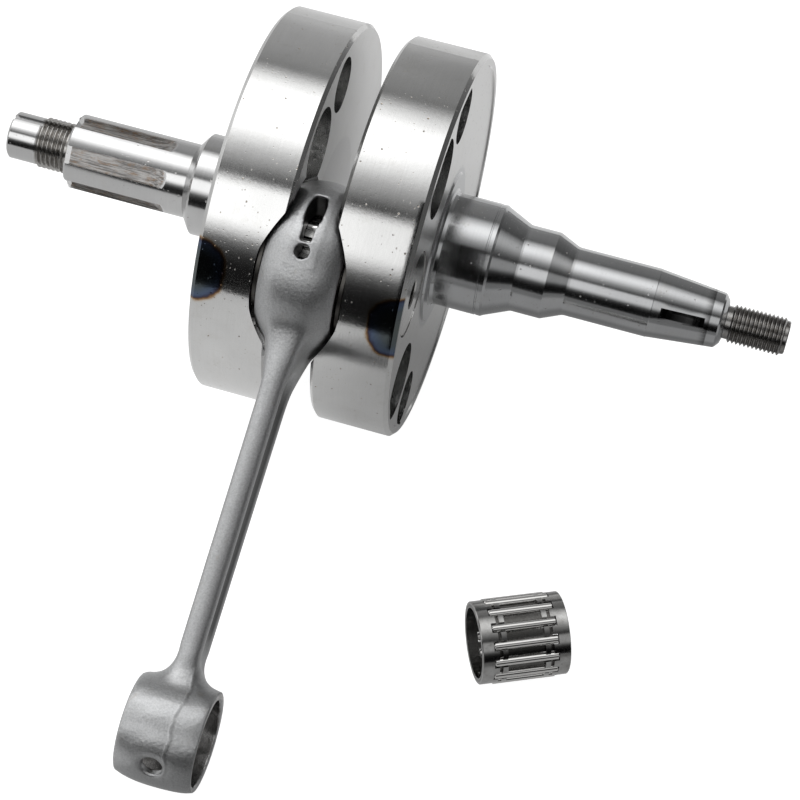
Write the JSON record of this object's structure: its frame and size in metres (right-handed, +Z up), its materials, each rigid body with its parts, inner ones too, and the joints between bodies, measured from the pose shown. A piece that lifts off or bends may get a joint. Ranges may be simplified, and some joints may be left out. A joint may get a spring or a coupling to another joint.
{
  "type": "crankshaft",
  "caption": "Built-up two-stroke crankshaft with full-circle webs, splined and tapered shafts, forged connecting rod and a loose small-end needle bearing.",
  "frame": {"origin": "on the crank axis, midway between the two crank webs", "axes": "+X along the crank axis towards the tapered flywheel shaft, +Z up as it lies on a flat surface at z = -60 mm, -Y towards the rod's small end"},
  "size_m": [0.247, 0.2377, 0.12],
  "materials": {
    "ground_steel": "ground and partly polished steel with heat tint near the pin",
    "forged_steel": "satin forged and shot-peened steel",
    "hardened_steel": "ground hardened steel",
    "cage_steel": "dark phosphated steel",
    "needle_steel": "polished rollers"
  },
  "bodies": {
    "crank": {"left_crank_half": "ground_steel", "right_crank_half": "ground_steel", "crank_pin": "hardened_steel"},
    "rod": {"connecting_rod": "forged_steel"},
    "big_end_bearing": {"big_end_cage": "cage_steel", "big_end_needle_01": "needle_steel", "big_end_needle_02": "needle_steel", "big_end_needle_03": "needle_steel", "big_end_needle_04": "needle_steel", "big_end_needle_05": "needle_steel", "big_end_needle_06": "needle_steel", "big_end_needle_07": "needle_steel", "big_end_needle_08": "needle_steel", "big_end_needle_09": "needle_steel", "big_end_needle_10": "needle_steel", "big_end_needle_11": "needle_steel", "big_end_needle_12": "needle_steel", "big_end_needle_13": "needle_steel", "big_end_needle_14": "needle_steel", "big_end_needle_15": "needle_steel", "big_end_needle_16": "needle_steel"},
    "thrust_washer_l": {"thrust_washer_left": "hardened_steel"},
    "thrust_washer_r": {"thrust_washer_right": "hardened_steel"},
    "small_end_bearing": {"small_end_cage": "cage_steel", "small_end_needle_01": "needle_steel", "small_end_needle_02": "needle_steel", "small_end_needle_03": "needle_steel", "small_end_needle_04": "needle_steel", "small_end_needle_05": "needle_steel", "small_end_needle_06": "needle_steel", "small_end_needle_07": "needle_steel", "small_end_needle_08": "needle_steel", "small_end_needle_09": "needle_steel", "small_end_needle_10": "needle_steel", "small_end_needle_11": "needle_steel", "small_end_needle_12": "needle_steel", "small_end_needle_13": "needle_steel", "small_end_needle_14": "needle_steel"}
  },
  "joints": [
    {"name": "rod_swing", "type": "hinge", "parent": "crank", "child": "rod", "pos_m": [0, -0.0369, 0.01788], "axis": [1, 0, 0], "continuous": true},
    {"name": "big_end_cage_turn", "type": "hinge", "parent": "crank", "child": "big_end_bearing", "pos_m": [0, -0.0369, 0.01788], "axis": [1, 0, 0], "continuous": true},
    {"name": "left_washer_turn", "type": "hinge", "parent": "crank", "child": "thrust_washer_l", "pos_m": [-0.0125, -0.0369, 0.01788], "axis": [1, 0, 0], "continuous": true},
    {"name": "right_washer_turn", "type": "hinge", "parent": "crank", "child": "thrust_washer_r", "pos_m": [0.0125, -0.0369, 0.01788], "axis": [1, 0, 0], "continuous": true},
    {"name": "small_end_bearing_roll", "type": "hinge", "parent": "crank", "child": "small_end_bearing", "pos_m": [0.0848, -0.0979, -0.04774], "axis": [0.8905, 0.4549, 0], "continuous": true}
  ],
  "couplings": [
    {"joint": "big_end_cage_turn", "follows": "rod_swing", "ratio": 0.56667}
  ]
}
